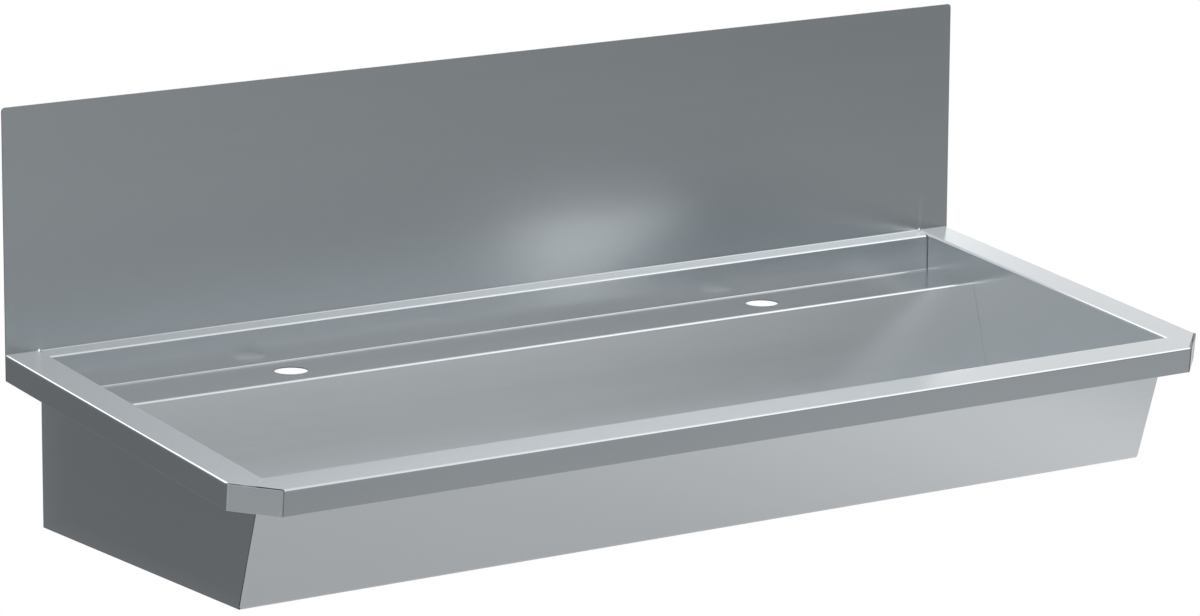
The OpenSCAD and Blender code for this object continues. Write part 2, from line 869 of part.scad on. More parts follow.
// Tag for the earthing wire, on the lip of the basin's back
module earth_tag() {
    color(dull_steel)
        difference() {
            translate([-tag_w/2, tag_y, tag_z])
                cube([tag_w, tag_t, tag_w]);
            at_earth_screw(tag_y)
                translate([0, 0, -cut_over])
                    cylinder(h = tag_t + 2*cut_over, d = stud_d + tag_play);
        }
}

module earth_screw() {
    color(zinc)
        at_earth_screw(tag_y + tag_t)
            pan_screw(stud_d, tag_screw_l);
}

module earth_nut() {
    color(zinc)
        at_earth_screw(tag_y)
            hex_nut(stud_d + nut_play);
}

splashback();
upstand();
tap_ledge();
basin_back();
basin_floor();
front_panel();
left_end_panel();
right_end_panel();
front_rim();
left_rim();
right_rim();
left_tap_plate();
right_tap_plate();
left_stiffener();
right_stiffener();
left_sound_pad();
right_sound_pad();
left_bracket();
right_bracket();
bracket_studs();
bracket_washers();
bracket_nuts();
waste_bowl();
upper_gasket();
lower_gasket();
waste_body();
waste_screw();
strainer();
strainer_knob();
earth_tag();
earth_screw();
earth_nut();
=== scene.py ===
import math

import bpy
import numpy as np
from mathutils import Matrix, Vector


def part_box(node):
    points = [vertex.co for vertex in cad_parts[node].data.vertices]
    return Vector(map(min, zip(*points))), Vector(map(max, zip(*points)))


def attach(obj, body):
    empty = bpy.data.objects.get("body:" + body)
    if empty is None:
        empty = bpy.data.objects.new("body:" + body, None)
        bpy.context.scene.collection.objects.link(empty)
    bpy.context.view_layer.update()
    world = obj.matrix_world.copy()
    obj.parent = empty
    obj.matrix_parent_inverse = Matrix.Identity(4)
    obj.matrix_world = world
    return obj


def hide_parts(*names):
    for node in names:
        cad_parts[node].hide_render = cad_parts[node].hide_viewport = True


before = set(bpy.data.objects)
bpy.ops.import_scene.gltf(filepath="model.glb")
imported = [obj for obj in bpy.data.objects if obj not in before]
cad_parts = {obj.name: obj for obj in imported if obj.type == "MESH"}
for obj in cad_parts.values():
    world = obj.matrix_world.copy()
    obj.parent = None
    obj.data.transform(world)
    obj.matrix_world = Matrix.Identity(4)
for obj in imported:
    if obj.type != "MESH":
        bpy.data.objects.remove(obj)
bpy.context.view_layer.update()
print("frame loaded,", len(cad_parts), "parts")

# Lengths are in millimetres up to where a mesh is made, and in metres in the studio.
mm = 0.001
near = 1e-4  # places closer than this are the same

sheetStock = {
    "thickness": 1.2,
    "outerFold": 2.4,  # radius on the outside of a fold
    "innerFold": 1.2,
    "foldSteps": 12,
    "flatGap": 0.8,  # rows this close to a fold keep the flats flat
    "rowStep": 40.0,
    "edgeRound": 0.25,  # deburred edges
}

trough = {
    "halfLength": 600.0,
    "insideX": 560.0,  # inner faces of the end walls
    "rimTop": 89.0,  # level of the rim at the wall
    "rimFall": math.radians(5.8),
    "base": -95.0,  # bottom edge of the panels
    "backLean": math.radians(16.6),
    "frontLean": math.radians(17.9),
    "tapLedge": 46.7,
    "tapLedgeFront": -101.0,
    "lip": 18.0,
}

sheet, outerFold, innerFold = (sheetStock[key] for key in ("thickness", "outerFold", "innerFold"))
endX, insideX, base = (trough[key] for key in ("halfLength", "insideX", "base"))


def unitOf(v):
    return np.asarray(v, float) / np.linalg.norm(v)


def rimToTrough(p):
    # The rim's frame is turned by its fall about the line where the rim meets the wall.
    fall = trough["rimFall"]
    y, z = p[..., 0], p[..., 1]
    return np.stack([y * np.cos(fall) - z * np.sin(fall),
                     trough["rimTop"] + y * np.sin(fall) + z * np.cos(fall)], -1)


def pastFold(before, corner, after, radius, more=1.0):
    # The point on the way from corner to after that lies just past the fold.
    a, b = unitOf(np.subtract(corner, before)), unitOf(np.subtract(after, corner))
    turn = abs(math.atan2(a[0] * b[1] - a[1] * b[0], a @ b))
    return np.asarray(corner, float) + b * (radius * math.tan(turn / 2) + more)


def pathRows(path, radii, thickness=sheet):
    # Rows of a folded sheet. Each corner of the path is an arc of its own radius, and the
    # straights get rows close to both ends. The back face is the same path one thickness
    # to the left, with an arc of the smaller or larger radius about the same centre.
    points = np.array(path, float)
    legs = np.diff(points, axis=0)
    ways = legs / np.linalg.norm(legs, axis=1, keepdims=True)
    lefts = np.stack([-ways[:, 1], ways[:, 0]], 1)
    turns = np.arctan2(ways[:-1, 0] * ways[1:, 1] - ways[:-1, 1] * ways[1:, 0],
                       (ways[:-1] * ways[1:]).sum(1))
    steps = np.linspace(0, 1, sheetStock["foldSteps"] + 1)
    sides = []
    for off in (0.0, thickness):
        runs = [points[:1] + lefts[:1] * off]
        for i, (turn, radius) in enumerate(zip(turns, radii)):
            side = np.sign(turn)
            centre = (points[i + 1] - ways[i] * radius * math.tan(abs(turn) / 2)
                      + lefts[i] * side * radius)
            first = -side * lefts[i]
            angle = math.atan2(first[1], first[0]) + turn * steps
            runs.append(centre + (radius - side * off)
                        * np.stack([np.cos(angle), np.sin(angle)], 1))
        runs.append(points[-1:] + lefts[-1:] * off)
        sides.append(runs)
    face, back, bent = [sides[0][0]], [sides[1][0]], [np.zeros(1)]
    for a in range(len(sides[0]) - 1):
        length = np.linalg.norm(sides[0][a + 1][0] - sides[0][a][-1])
        gap = min(sheetStock["flatGap"] / length, 0.3)
        count = max(1, int(length // sheetStock["rowStep"])) + 1
        shares = np.linspace(gap, 1 - gap, count)[:, None]
        for rows, runs in ((face, sides[0]), (back, sides[1])):
            rows.append(runs[a][-1] + (runs[a + 1][0] - runs[a][-1]) * shares)
            rows.append(runs[a + 1])
        # Hands and cloths polish the outside of a fold, and not the corner inside it.
        isPolished = a < len(radii) and radii[a] > innerFold
        bent += [np.zeros(len(shares)), np.full(len(sides[0][a + 1]), float(isPolished))]
    face, back = np.concatenate(face), np.concatenate(back)
    along = np.concatenate([[0], np.linalg.norm(np.diff(face, axis=0), axis=1).cumsum()])
    return {"s": along, "face": face, "back": back, "bent": np.concatenate(bent)}


def merged(*parts):
    return np.unique(np.round(np.concatenate(parts), 5))


def rowAt(rows, side, s):
    return np.stack([np.interp(s, rows["s"], rows[side][:, k]) for k in (0, 1)], -1)


def bentAt(rows, s):
    return np.interp(s, rows["s"], rows["bent"])


def holedGrid(us, vs, holes=(), plane=None, wrap=False):
    # A grid over us and vs. Round each hole a block of its cells gives way to rings: every
    # point of the block's edge moves straight to the hole's circle, and then on to the
    # further circles of the hole's profile. Columns three holds u, v and the drop.
    cols, rows = len(us), len(vs)
    number = np.arange(cols * rows).reshape(cols, rows)
    u, v = np.meshgrid(us, vs, indexing="ij")
    flat = np.stack([u.ravel(), v.ravel()], 1) if plane is None else plane(u.ravel(), v.ravel())
    keep = np.ones((cols if wrap else cols - 1, rows - 1), bool)
    points, drops, quads, total = [flat], [np.zeros(len(flat))], [], len(flat)
    for hole in holes:
        i0, i1, j0, j1 = hole["block"]
        cells = np.arange(i0, i1) % cols
        keep[cells[:, None], np.arange(j0, j1)[None, :]] = False
        loop = np.concatenate([number[cells, j0], number[i1 % cols, j0:j1],
                               number[np.arange(i1, i0, -1) % cols, j1],
                               number[i0 % cols, np.arange(j1, j0, -1)]])
        centre = np.array(hole["centre"], float)
        away = flat[loop] - centre
        reach = np.linalg.norm(away, axis=1, keepdims=True)
        first = hole["rings"][0][0]
        circles = [(first + (reach - first) * share, 0.0) for share in (0.6, 0.25)]
        circles += [(radius, drop) for radius, drop in hole["rings"]]
        outer = loop
        for radius, drop in circles:
            ring = total + np.arange(len(loop))
            points.append(centre + away / reach * radius)
            drops.append(np.full(len(loop), drop))
            quads.append(np.stack([outer, np.roll(outer, -1), np.roll(ring, -1), ring], 1))
            outer, total = ring, total + len(loop)
    i, j = np.nonzero(keep)
    k = (i + 1) % cols
    quads.append(np.stack([number[i, j], number[k, j], number[k, j + 1], number[i, j + 1]], 1))
    quads = np.concatenate(quads)
    table = np.column_stack([np.concatenate(points), np.concatenate(drops)])
    used, renumbered = np.unique(quads, return_inverse=True)
    return table[used], renumbered.reshape(quads.shape)


def blockRound(values, low, high):
    return int(np.abs(values - low).argmin()), int(np.abs(values - high).argmin())


def squareHole(u, v, half, rings, us, vs):
    return {"centre": (u, v), "rings": rings,
            "block": (*blockRound(us, u - half, u + half), *blockRound(vs, v - half, v + half))}


def closedSheet(face, back, quads, welded=None, bent=None):
    # Both faces of a sheet and the narrow wall along each edge that only one cell uses.
    pair = np.round(np.hstack([face, back]), 4)
    kept, number = np.unique(pair, axis=0, return_index=True, return_inverse=True)[1:]
    face, back, quads = face[kept], back[kept], number.ravel()[quads]
    welded = np.zeros(len(face), bool) if welded is None else welded[kept]
    bent = np.zeros(len(face)) if bent is None else bent[kept]
    a, b, c = (face[quads[:, k]] for k in (0, 1, 2))
    if (np.cross(b - a, c - b) * (face - back)[quads[:, 0]]).sum() < 0:
        quads = quads[:, ::-1]
    count = len(face)
    edges = np.concatenate([quads[:, [k, (k + 1) % 4]] for k in range(4)])
    rim = edges[~np.isin(edges[:, 0] * count + edges[:, 1], edges[:, 1] * count + edges[:, 0])]
    walls = np.stack([rim[:, 1], rim[:, 0], rim[:, 0] + count, rim[:, 1] + count], 1)
    free = rim[~(welded[rim[:, 0]] & welded[rim[:, 1]])]
    return {"points": np.concatenate([face, back]),
            "quads": np.concatenate([quads, quads[:, ::-1] + count, walls]),
            "free": np.concatenate([free, free + count]),
            "sharp": np.concatenate([rim, rim + count]),
            "cut": np.concatenate([np.zeros(2 * len(quads)), np.ones(len(walls))]),
            "bent": np.concatenate([bent, bent])}


def joined(shells):
    # Several closed shells as the one mesh of a piece.
    start = np.cumsum([0] + [len(s["points"]) for s in shells[:-1]])
    whole = {key: np.concatenate([s[key] for s in shells]) for key in ("points", "bent", "cut")}
    for key in ("quads", "free", "sharp"):
        whole[key] = np.concatenate([s[key] + n for s, n in zip(shells, start)])
    return whole


def mirrored(shell):
    return {**shell, "points": shell["points"] * [-1, 1, 1], "quads": shell["quads"][:, ::-1]}


def edgeKeys(pairs):
    # One number for each pair: the lower one times a large prime, plus the higher one.
    return pairs.min(1).astype(np.int64) * 1000003 + pairs.max(1)


def placed(name, data):
    thing = bpy.data.objects.new(name, data)
    bpy.context.scene.collection.objects.link(thing)
    return thing


def writeAttribute(mesh, name, kind, domain, values):
    values = values.astype(bool if kind == "BOOLEAN" else np.float32)
    mesh.attributes.new(name, kind, domain).data.foreach_set("value", values)


def makePiece(name, shell, material, node, body="trough", grain=None):
    # The numbers go into the mesh as whole arrays. grain is the axis of the brushing and
    # gives the piece its own UV map in metres. The wear map marks folds and corners that hands
    # reach, and the cut map the narrow faces where the sheet was cut, which the steel paints dark:
    # cut oxide and painted shade.
    mesh = bpy.data.meshes.new(name)
    points, quads = shell["points"] * mm, shell["quads"]
    size = (quads[:, 0] != quads[:, 3]).astype(int) + 3  # a quad whose ends meet is a triangle
    corners = quads[np.arange(4)[None, :] < size[:, None]]
    starts = np.concatenate([[0], size.cumsum()[:-1]])
    for items, key, values, kind in ((mesh.vertices, "co", points, np.float32),
                                     (mesh.loops, "vertex_index", corners, np.int32),
                                     (mesh.polygons, "loop_start", starts, np.int32)):
        items.add(len(values))
        items.foreach_set(key, values.astype(kind).ravel())
    mesh.update(calc_edges=True)
    mesh.polygons.foreach_set("use_smooth", np.ones(len(quads), bool))
    if grain is not None:
        layer = mesh.uv_layers.new(name="grain")
        # U runs across the brushing, because that is the way in which it spreads a reflection.
        uv = np.stack([points[:, 1 - grain] + points[:, 2], points[:, grain]], 1)
        layer.data.foreach_set("uv", uv[corners].astype(np.float32).ravel())
    edges = np.zeros(len(mesh.edges) * 2, np.int32)
    mesh.edges.foreach_get("vertices", edges)
    keys = edgeKeys(edges.reshape(-1, 2))
    isFree, isSharp = (np.isin(keys, edgeKeys(shell[key])) for key in ("free", "sharp"))
    wear = shell["bent"].copy()
    wear[np.unique(shell["free"])] = 1
    writeAttribute(mesh, "sharp_edge", "BOOLEAN", "EDGE", isSharp & ~isFree)
    writeAttribute(mesh, "bevel_weight_edge", "FLOAT", "EDGE", isFree)
    writeAttribute(mesh, "wear", "FLOAT", "POINT", wear)
    writeAttribute(mesh, "cut", "FLOAT", "FACE", shell["cut"])
    mesh.validate()
    piece = placed(name, mesh)
    mesh.materials.append(material)
    if isFree.any():
        bevel = piece.modifiers.new("roundedEdges", "BEVEL")
        bevel.limit_method = "WEIGHT"
        bevel.width = sheetStock["edgeRound"] * mm
        bevel.segments = 2
        bevel.harden_normals = True
    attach(piece, body)
    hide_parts(node)


def nodeMaterial(name):
    material = bpy.data.materials.new(name)
    material.use_nodes = True
    tree = material.node_tree
    return material, tree, tree.nodes["Principled BSDF"]


def filled(tree, node, inputs):
    # Each input gets a number, a colour or the output of another node.
    for key, value in inputs.items():
        if isinstance(value, bpy.types.NodeSocket):
            tree.links.new(value, node.inputs[key])
        else:
            node.inputs[key].default_value = value
    return node


def addNode(tree, kind, inputs=None, **settings):
    node = tree.nodes.new("ShaderNode" + kind)
    for key, value in settings.items():
        setattr(node, key, value)
    return filled(tree, node, inputs or {})


def noiseOn(tree, vector, scale, detail, roughness=0.55):
    # Noise on Object coordinates, stretched by a scale for each axis.
    stretched = addNode(tree, "Mapping", {"Vector": vector, "Scale": scale}).outputs["Vector"]
    return addNode(tree, "TexNoise", {"Vector": stretched, "Scale": 1.0, "Detail": detail,
                                      "Roughness": roughness}).outputs["Fac"]


def mapped(tree, value, low, high, fromLow=0.3, fromHigh=0.7):
    return addNode(tree, "MapRange", {"Value": value, "From Min": fromLow, "From Max": fromHigh,
                                      "To Min": low, "To Max": high}).outputs["Result"]


def maths(tree, operation, a, b):
    return addNode(tree, "Math", {0: a, 1: b}, operation=operation).outputs[0]


def colourBetween(tree, factor, first, second):
    # first is a colour or the output of another node.
    first = (*first, 1) if isinstance(first, tuple) else first
    inputs = {"Factor": factor, 6: first, 7: (*second, 1)}
    return addNode(tree, "Mix", inputs, data_type="RGBA").outputs[2]


def bumped(tree, height, strength, distance, **more):
    inputs = {"Height": height, "Strength": strength, "Distance": distance, **more}
    return addNode(tree, "Bump", inputs).outputs["Normal"]


brushing = {
    "light": (0.652, 0.678, 0.694),
    "deep": (0.628, 0.654, 0.670),
    "worn": (0.78, 0.80, 0.82),
    "cut": (0.16, 0.165, 0.17),  # laser-cut edges: dark oxide, and painted shade where joints and edges sit in shade
    "roughLow": 0.17,
    "roughHigh": 0.22,
    "polish": 0.04,  # what wear takes off the roughness
    "cutRough": 0.3,  # what a cut adds to it
    "lines": (9.0, 1400.0),  # noise scales along and across the brushing
    "streaks": (1.6, 45.0),
    "clouds": (2.3, 2.3, 2.3),
    "waves": (1.7, 1.7, 2.4),
    "lineHeight": 0.00001,
    "waveHeight": 0.0008,
    "spread": 0.35,  # how much further a reflection spreads across the lines
}


def brushedSteel(name, along):
    # Fine lines along the brushing, broad soft streaks over them, and slow clouds where
    # hands and cloths have been. Convex folds and free edges are polished by wear.
    b = brushing
    material, tree, shader = nodeMaterial(name)
    coords = addNode(tree, "TexCoord").outputs["Object"]
    fine, broad = ([b[key][1]] * 3 for key in ("lines", "streaks"))
    fine[along], broad[along] = b["lines"][0], b["streaks"][0]
    lines = noiseOn(tree, coords, fine, 3.0, roughness=0.7)
    streaks = noiseOn(tree, coords, broad, 3.0)
    clouds = noiseOn(tree, coords, b["clouds"], 3.0)
    waves = noiseOn(tree, coords, b["waves"], 0.0)
    wear, cut = (addNode(tree, "Attribute", attribute_name=key).outputs["Fac"]
                 for key in ("wear", "cut"))
    tone = maths(tree, "ADD", maths(tree, "MULTIPLY", lines, 0.35),
                 maths(tree, "ADD", maths(tree, "MULTIPLY", streaks, 0.35),
                       maths(tree, "MULTIPLY", clouds, 0.3)))
    steel = colourBetween(tree, mapped(tree, tone, 0.0, 1.0), b["deep"], b["light"])
    steel = colourBetween(tree, maths(tree, "MULTIPLY", wear, 0.7), steel, b["worn"])
    rough = mapped(tree, tone, b["roughLow"], b["roughHigh"])
    rough = maths(tree, "SUBTRACT", rough, maths(tree, "MULTIPLY", wear, b["polish"]))
    slow = bumped(tree, waves, 1.0, b["waveHeight"])
    across = addNode(tree, "Tangent", direction_type="UV_MAP", uv_map="grain")
    # Cut faces take the dark cut colour: partly the oxide of the cut, partly painted shade in the
    # joints and under the edges.
    filled(tree, shader, {
        "Base Color": colourBetween(tree, cut, steel, b["cut"]),
        "Roughness": maths(tree, "ADD", rough, maths(tree, "MULTIPLY", cut, b["cutRough"])),
        "Normal": bumped(tree, lines, 0.5, b["lineHeight"], Normal=slow),
        "Metallic": 1.0,
        "Anisotropic": b["spread"],
        "Tangent": across.outputs["Tangent"],
    })
    return material


def speckled(name, light, deep, rough, metallic, scale, grainHeight):
    # A finish with two close colours in soft patches and a fine grain on the surface.
    material, tree, shader = nodeMaterial(name)
    coords = addNode(tree, "TexCoord").outputs["Object"]
    patches = noiseOn(tree, coords, (scale,) * 3, 5.0, roughness=0.6)
    grain = noiseOn(tree, coords, (scale * 22,) * 3, 4.0, roughness=0.65)
    tone = maths(tree, "ADD", maths(tree, "MULTIPLY", patches, 0.5),
                 maths(tree, "MULTIPLY", grain, 0.5))
    filled(tree, shader, {
        "Base Color": colourBetween(tree, mapped(tree, patches, 0.0, 1.0), deep, light),
        "Roughness": mapped(tree, tone, *rough),
        "Normal": bumped(tree, grain, 0.6, grainHeight),
        "Metallic": metallic,
    })
    return material


brushedSteels = [brushedSteel("brushedSteelLengthwise", 0), brushedSteel("brushedSteelAcross", 1)]
plainPlate = speckled("millFinishPlate", (0.56, 0.58, 0.59), (0.46, 0.48, 0.49),
                      (0.38, 0.52), 1.0, 26.0, 0.00003)
zincSteel = speckled("zincPlatedSteel", (0.70, 0.71, 0.69), (0.60, 0.61, 0.58),
                     (0.26, 0.40), 1.0, 90.0, 0.00002)
wasteSteel = speckled("polishedWasteSteel", (0.72, 0.74, 0.75), (0.64, 0.66, 0.68),
                      (0.16, 0.26), 1.0, 60.0, 0.00001)
padBitumen = speckled("soundPadRubber", (0.035, 0.035, 0.037), (0.020, 0.020, 0.022),
                      (0.62, 0.85), 0.0, 40.0, 0.0002)
gasketRubber = speckled("gasketRubber", (0.045, 0.045, 0.045), (0.028, 0.028, 0.028),
                        (0.50, 0.68), 0.0, 80.0, 0.00005)
wastePlastic = speckled("wastePlastic", (0.74, 0.74, 0.72), (0.68, 0.68, 0.66),
                        (0.34, 0.46), 0.0, 50.0, 0.00003)
print("materials made")


def makeSheet(name, shell, node, along=0):
    makePiece(name, shell, brushedSteels[along], node, grain=along)


fullLength = np.unique(np.concatenate([np.linspace(-1, 1, 33), [-0.9985, 0.9985]])) * insideX


def lengthwise(rows, us=fullLength, half=None, tilted=False, extraRows=(),
               weldedEnds=(True, True), weldedSides=None):
    # A folded sheet that runs along the trough: u is the place along X and v the way along
    # the fold path. half gives the sheet's half length from its own y, for mitred ends.
    vs = merged(rows["s"], extraRows)
    table, quads = holedGrid(us, vs)
    u, v = table[:, :2].T
    sides = []
    for side in ("face", "back"):
        yz = rowAt(rows, side, v)
        x = u * (1 if half is None else half(yz[:, 0]) / us.max())
        sides.append(np.column_stack([x, rimToTrough(yz) if tilted else yz]))
    welded = ((v < near) & weldedEnds[0]) | ((v > vs[-1] - near) & weldedEnds[1])
    if weldedSides is not None:
        welded |= (np.abs(u) > us.max() - near) & weldedSides(rowAt(rows, "face", v)[:, 0])
    return closedSheet(*sides, quads, welded, bentAt(rows, v))


ledgeStart = [-sheet, 88.4]
ledgeEnd = [-17.6, 85.4]
upstandFoot = [ledgeEnd[0], trough["tapLedge"]]
ledgeEdge = [trough["tapLedgeFront"], trough["tapLedge"]]
backFoot = [ledgeEdge[0] - (ledgeEdge[1] - base) * math.tan(trough["backLean"]), base]
backLipEnd = [backFoot[0] + trough["lip"], base]
ledgeWeld = pastFold(upstandFoot, ledgeEnd, ledgeStart, outerFold)
upstandWeld = pastFold(ledgeEnd, upstandFoot, ledgeEdge, innerFold)
backWeld = pastFold(upstandFoot, ledgeEdge, backFoot, outerFold)

splashBack = {
    "top": 341.0,
    "earFoot": 61.8,
    "cornerRadius": 4.0,
    "cornerBand": 6.0,  # the rows in this band below the top follow the round corners
    "foldTop": 90.8,  # the ears begin above the relief holes
    "reliefX": 561.28,
    "reliefZ": 89.0,
    "reliefRadius": 1.6,
    "belowRelief": 86.0,
}


def splashBackShell():
    # One grid for the wall and its lowest fold, and one for each ear beside the fold.
    p, corner = splashBack, splashBack["cornerRadius"]
    rows = pathRows([[-sheet, p["top"]], ledgeStart, ledgeWeld], [innerFold])
    atFold, straight = p["top"] - p["foldTop"], endX - corner
    arc = corner * np.sin(np.linspace(0, math.pi / 2, 9))
    outer = np.concatenate([np.linspace(insideX, straight, 7), straight + arc[1:]])
    middle = fullLength[np.abs(fullLength) < insideX - 0.1]
    us = np.concatenate([-outer[::-1], middle, outer])
    vs = merged(rows["s"], [p["cornerBand"], atFold])
    table, quads = holedGrid(us, vs)
    u, v = table[:, :2].T
    high = v[quads].max(1) < atFold + 1e-3
    inner = np.abs(u[quads]).max(1) < insideX + 1e-3
    past = np.clip(np.abs(u) - straight, 0, corner)
    below = corner - np.sqrt(corner ** 2 - past ** 2)
    sides = []
    for side in ("face", "back"):
        yz = rowAt(rows, side, v)
        yz[:, 1] -= below * np.clip(1 - v / p["cornerBand"], 0, 1)
        sides.append(np.column_stack([u, yz]))
    angle = np.linspace(math.pi / 2, -math.pi / 2, 13)
    hole = p["reliefZ"] + p["reliefRadius"] * np.sin(angle)
    zs = np.concatenate([[p["foldTop"]], hole, [hole[-1] - 0.02],
                         np.linspace(p["belowRelief"], p["earFoot"], 6)])
    earTable, earQuads = holedGrid(outer, np.arange(len(zs), dtype=float))
    z = zs[np.round(earTable[:, 1]).astype(int)]
    half = np.sqrt(np.clip(p["reliefRadius"] ** 2 - (z - p["reliefZ"]) ** 2, 0, None))
    isHole = np.abs(z - p["reliefZ"]) < p["reliefRadius"] + 1e-3
    edge = np.where(isHole, p["reliefX"] + half, insideX)
    x = endX - (endX - earTable[:, 0]) * (endX - edge) / (endX - insideX)
    start, count = len(table), len(x)
    faces, backs, allQuads = [sides[0]], [sides[1]], [quads[high | inner]]
    for number, sign in enumerate((-1, 1)):
        faces.append(np.column_stack([sign * x, np.full(count, -sheet), z]))
        backs.append(np.column_stack([sign * x, np.zeros(count), z]))
        allQuads.append(earQuads[:, ::sign] + start + number * count)
    face, back = np.concatenate(faces), np.concatenate(backs)
    welded, bent = np.zeros(len(face), bool), np.zeros(len(face))
    welded[:start] = v > vs[-1] - near
    bent[:start] = bentAt(rows, v)
    return closedSheet(face, back, np.concatenate(allQuads), welded, bent)


makeSheet("splashBackSheet", splashBackShell(), "splashback")

upstandRows = pathRows([ledgeWeld, ledgeEnd, upstandFoot, upstandWeld], [outerFold, innerFold])
makeSheet("upstandSheet", lengthwise(upstandRows, fullLength * ((insideX - sheet) / insideX)),
          "upstand")

tapHoles = {"x": 300.0, "y": -60.0, "radius": 17.5, "block": 24.0}


def tapLedgeShell():
    h = tapHoles
    rows = pathRows([upstandWeld, ledgeEdge, backWeld], [outerFold])
    middle = upstandWeld[0] - h["y"]
    blockRows = middle + np.linspace(-h["block"], h["block"], 17)
    blockCols = h["x"] + np.linspace(-h["block"], h["block"], 17)
    clear = np.abs(np.abs(fullLength) - h["x"]) > h["block"] + 1
    us = np.sort(np.concatenate([fullLength[clear], blockCols, -blockCols]))
    vs = merged(rows["s"][np.abs(rows["s"] - middle) > h["block"] + 0.5], blockRows)
    holes = [squareHole(x, middle, h["block"], [(h["radius"], 0.0)], us, vs)
             for x in (-h["x"], h["x"])]
    table, quads = holedGrid(us, vs, holes)
    u, v = table[:, :2].T
    face, back = (np.column_stack([u, rowAt(rows, side, v)]) for side in ("face", "back"))
    atEnds = (v < near) | (v > vs[-1] - near) | (np.abs(u) > insideX - 0.1)
    return closedSheet(face, back, quads, atEnds, bentAt(rows, v))


makeSheet("tapLedgeSheet", tapLedgeShell(), "tap_ledge")

backRows = pathRows([backWeld, backFoot, backLipEnd], [outerFold])
makeSheet("basinBackSheet", lengthwise(backRows, weldedEnds=(True, False)), "basin_back")

rim = {
    "front": -470.0 / math.cos(trough["rimFall"]),
    "width": 40.0,
    "leg": 6.0,  # depth of the inner edge
    "skirt": 27.2,
    "cornerCut": 38.5,
    "flapJoint": 1.2,
    "flapStart": 3.6,
    "flapSlot": 1.6,
}
rimInner = rim["front"] + rim["width"]
cutY = rim["front"] + rim["cornerCut"]
slotOff = (sheet + rim["flapSlot"]) * math.sqrt(2)
mitre = (rim["width"] + (rimInner - cutY) - slotOff) / 2
jointX = endX - rim["cornerCut"] - rim["flapJoint"]
jointY = cutY + slotOff - (endX - jointX)
frontLean = trough["frontLean"]
leanInRim = frontLean - trough["rimFall"]
upInRim = np.array([-math.sin(leanInRim), math.cos(leanInRim)])
legFoot = np.array([rimInner, 0]) - upInRim * rim["leg"] / upInRim[1]

frontHead = rimToTrough(np.array([rimInner, 0.0]))
frontUp = np.array([-math.sin(frontLean), math.cos(frontLean)])
drop = (frontHead[1] - base - sheet * math.sin(frontLean)) / math.cos(frontLean)
frontFootInside = frontHead - frontUp * drop
frontFoot = frontFootInside - sheet * np.array([math.cos(frontLean), math.sin(frontLean)])
frontTop = rimToTrough(legFoot + np.array([-upInRim[1], upInRim[0]]) * sheet)

frontRows = pathRows([frontTop, frontFoot, frontFoot + [trough["lip"], 0]], [outerFold])
makeSheet("frontPanelSheet",
          lengthwise(frontRows, weldedEnds=(True, False),
                     weldedSides=lambda y: y < frontFoot[0] - 1,
                     half=lambda y: np.where(y < frontFoot[0] - 0.6, insideX + sheet, insideX)),
          "front_panel")

frontRimRows = pathRows([legFoot, [rimInner, 0], [rim["front"], 0], [rim["front"], -rim["skirt"]]],
                        [outerFold] * 2)
halfKnots = np.array([[rim["front"] - 1, jointX], [jointY, jointX],
                      [rimInner - mitre, insideX + mitre], [rimInner, insideX],
                      [rimInner + 10, insideX]])
makeSheet("frontRimSheet",
          lengthwise(frontRimRows, tilted=True, weldedEnds=(True, False),
                     half=lambda y: np.interp(y, halfKnots[:, 0], halfKnots[:, 1]),
                     weldedSides=lambda y: y > rimInner - mitre + 0.1,
                     extraRows=np.interp([-jointY, mitre - rimInner],
                                         -frontRimRows["face"][:, 0], frontRimRows["s"])),
          "front_rim")


def sideRimShell():
    # The rim's own frame is used throughout: u goes from the wall to the front corner. The
    # flap is the same fold path seen in plan and carried up the height of the skirt.
    fall, skirt = trough["rimFall"], rim["skirt"]
    rows = pathRows([[-insideX, -rim["leg"]], [-insideX, 0], [-endX, 0], [-endX, -skirt]],
                    [outerFold] * 2)
    flapTop = cutY + rim["flapStart"]
    frontKnots = np.array([[-endX - 1, flapTop], [slotOff - endX - rim["flapStart"], flapTop],
                           [-insideX - mitre, rimInner - mitre], [-insideX, rimInner],
                           [10 - insideX, rimInner + 10]])
    extra = np.interp([insideX + mitre], -rows["face"][:, 0], rows["s"])
    vs = merged(rows["s"], extra)
    us = np.unique(np.concatenate([np.linspace(0, 1, 15), [0.002, 0.998]]))
    table, quads = holedGrid(us, vs)
    u, v = table[:, :2].T
    sides = []
    for side in ("face", "back"):
        xz = rowAt(rows, side, v)
        atWall = (xz[:, 1] * math.sin(fall) - sheet) / math.cos(fall)
        atFront = np.interp(xz[:, 0], frontKnots[:, 0], frontKnots[:, 1])
        y = atWall + (atFront - atWall) * u
        sides.append(np.column_stack([xz[:, 0], rimToTrough(np.stack([y, xz[:, 1]], 1))]))
    x, z = rowAt(rows, "face", v).T
    atMitre = (u > 0.999) & ((x > 0.1 - insideX - mitre) | (z < -outerFold - 0.1))
    top = closedSheet(*sides, quads, (u < 0.001) | (v < near) | atMitre, bentAt(rows, v))
    top["cut"][:] = 0  # its edge at the corner is ground bright, so it gets no dark cut colour and no painted shade

    flapRows = pathRows([[-endX, flapTop], [-endX, cutY], [rim["cornerCut"] - endX, rim["front"]]],
                        [outerFold])
    table, quads = holedGrid(flapRows["s"], np.array([-skirt, 1 - skirt, -14, -1.5, -0.5]))
    along, z = table[:, :2].T
    face, back = (np.column_stack([xy[:, 0], rimToTrough(np.stack([xy[:, 1], z], 1))])
                  for xy in (rowAt(flapRows, side, along) for side in ("face", "back")))
    flap = closedSheet(face, back, quads, along < near, bentAt(flapRows, along))
    return joined([top, flap])


leftRim = sideRimShell()
makeSheet("leftRimSheet", leftRim, "left_rim", along=1)
makeSheet("rightRimSheet", mirrored(leftRim), "right_rim", along=1)


